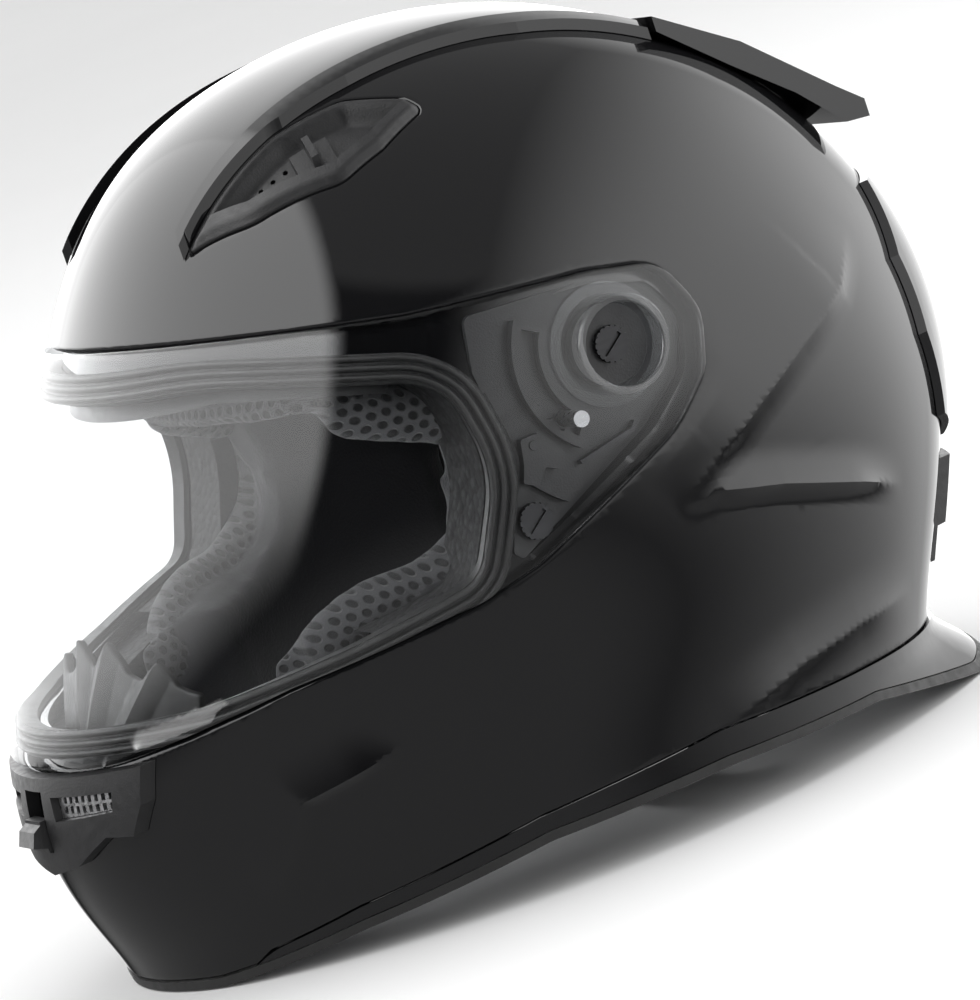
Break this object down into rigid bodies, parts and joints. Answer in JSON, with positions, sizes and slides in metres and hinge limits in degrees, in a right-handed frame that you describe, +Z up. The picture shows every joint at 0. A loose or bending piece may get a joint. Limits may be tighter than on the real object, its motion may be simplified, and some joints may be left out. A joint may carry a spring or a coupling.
{
  "type": "motorcycle helmet",
  "caption": "Full-face motorcycle helmet with hinged clear visor, sliding vents, rear spoiler, foam liner, padded lining and chin strap.",
  "frame": {"origin": "on the resting plane, under the middle of the overall length and width", "axes": "+Z up through the crown, -Y towards the wearer's front, +X to the wearer's left"},
  "size_m": [0.2594, 0.344, 0.256],
  "materials": {
    "gloss_black": "high gloss black lacquer",
    "matte_black": "fine textured black plastic",
    "trim_rubber": "soft black rubber",
    "clear_visor": "clear scratch-resistant polycarbonate",
    "steel": "satin steel",
    "brass_insert": "machined brass",
    "foam": "black expanded polystyrene beads",
    "mesh_fabric": "charcoal spacer mesh",
    "lining_fabric": "brushed black lining fabric",
    "webbing": "woven black webbing"
  },
  "bodies": {
    "helmet": {"outer_shell": "gloss_black", "lower_skirt": "gloss_black", "top_rail_left": "gloss_black", "top_rail_right": "gloss_black", "rear_spoiler": "gloss_black", "rear_exhaust_panel": "gloss_black", "rear_exhaust_fin": "matte_black", "base_trim": "trim_rubber", "eyeport_gasket": "trim_rubber", "pivot_screws": "steel", "plate_screws": "steel", "threaded_inserts": "brass_insert", "base_plate_left": "matte_black", "base_plate_right": "matte_black", "ratchet_arc_left": "matte_black", "ratchet_arc_right": "matte_black", "lever_spring_left": "steel", "lever_spring_right": "steel", "forehead_vent_left": "matte_black", "forehead_vent_right": "matte_black", "chin_vent_housing": "matte_black", "chin_vent_mesh": "steel", "eps_liner": "foam", "eps_chin_bar": "foam", "comfort_liner": "lining_fabric", "brow_pad": "mesh_fabric", "brow_strip": "matte_black", "cheek_pad_left": "mesh_fabric", "cheek_pad_right": "mesh_fabric", "neck_roll": "lining_fabric", "chin_curtain": "lining_fabric", "breath_guard": "trim_rubber", "strap_rivets": "steel", "strap_anchors": "steel"},
    "visor": {"visor_shield": "clear_visor", "visor_ratchet_pins": "steel"},
    "chin_slider": {"chin_vent_slider": "matte_black"},
    "forehead_slider_l": {"forehead_slider_left": "matte_black"},
    "forehead_slider_r": {"forehead_slider_right": "matte_black"},
    "lever_l": {"release_lever_left": "matte_black"},
    "lever_r": {"release_lever_right": "matte_black"},
    "strap_l": {"strap_left": "webbing", "strap_tab_left": "steel", "strap_pad_left": "lining_fabric", "snap_button": "steel"},
    "strap_r": {"strap_right": "webbing", "strap_tab_right": "steel", "strap_pad_right": "lining_fabric"},
    "ring": {"d_ring": "steel"}
  },
  "joints": [
    {"name": "visor_hinge", "type": "hinge", "parent": "helmet", "child": "visor", "pos_m": [0, 0.0126, 0.151], "axis": [-1, 0, 0], "range_deg": [0, 55]},
    {"name": "chin_vent_slide", "type": "slide", "parent": "helmet", "child": "chin_slider", "axis": [0, 0, 1], "range_m": [0, 0.006]},
    {"name": "forehead_vent_slide_left", "type": "slide", "parent": "helmet", "child": "forehead_slider_l", "axis": [0.2747, 0.9476, 0.1629], "range_m": [0, 0.006]},
    {"name": "forehead_vent_slide_right", "type": "slide", "parent": "helmet", "child": "forehead_slider_r", "axis": [-0.2747, 0.9476, 0.1629], "range_m": [0, 0.006]},
    {"name": "release_lever_left_hinge", "type": "hinge", "parent": "helmet", "child": "lever_l", "pos_m": [0.115, -0.0209, 0.1315], "axis": [1, 0, 0], "range_deg": [0, 6], "stiffness_Nm_per_rad": 0.05},
    {"name": "release_lever_right_hinge", "type": "hinge", "parent": "helmet", "child": "lever_r", "pos_m": [-0.115, -0.0209, 0.1315], "axis": [1, 0, 0], "range_deg": [0, 6], "stiffness_Nm_per_rad": 0.05},
    {"name": "left_strap_swing", "type": "hinge", "parent": "helmet", "child": "strap_l", "pos_m": [0.103, 0.0156, 0.036], "axis": [1, 0, 0], "range_deg": [-12, 12]},
    {"name": "right_strap_swing", "type": "hinge", "parent": "helmet", "child": "strap_r", "pos_m": [-0.103, 0.0156, 0.036], "axis": [1, 0, 0], "range_deg": [-12, 12]},
    {"name": "d_ring_hinge", "type": "hinge", "parent": "strap_r", "child": "ring", "pos_m": [-0.0444, 0.0156, 0.0082], "axis": [0, -1, 0], "range_deg": [0, 60]}
  ]
}
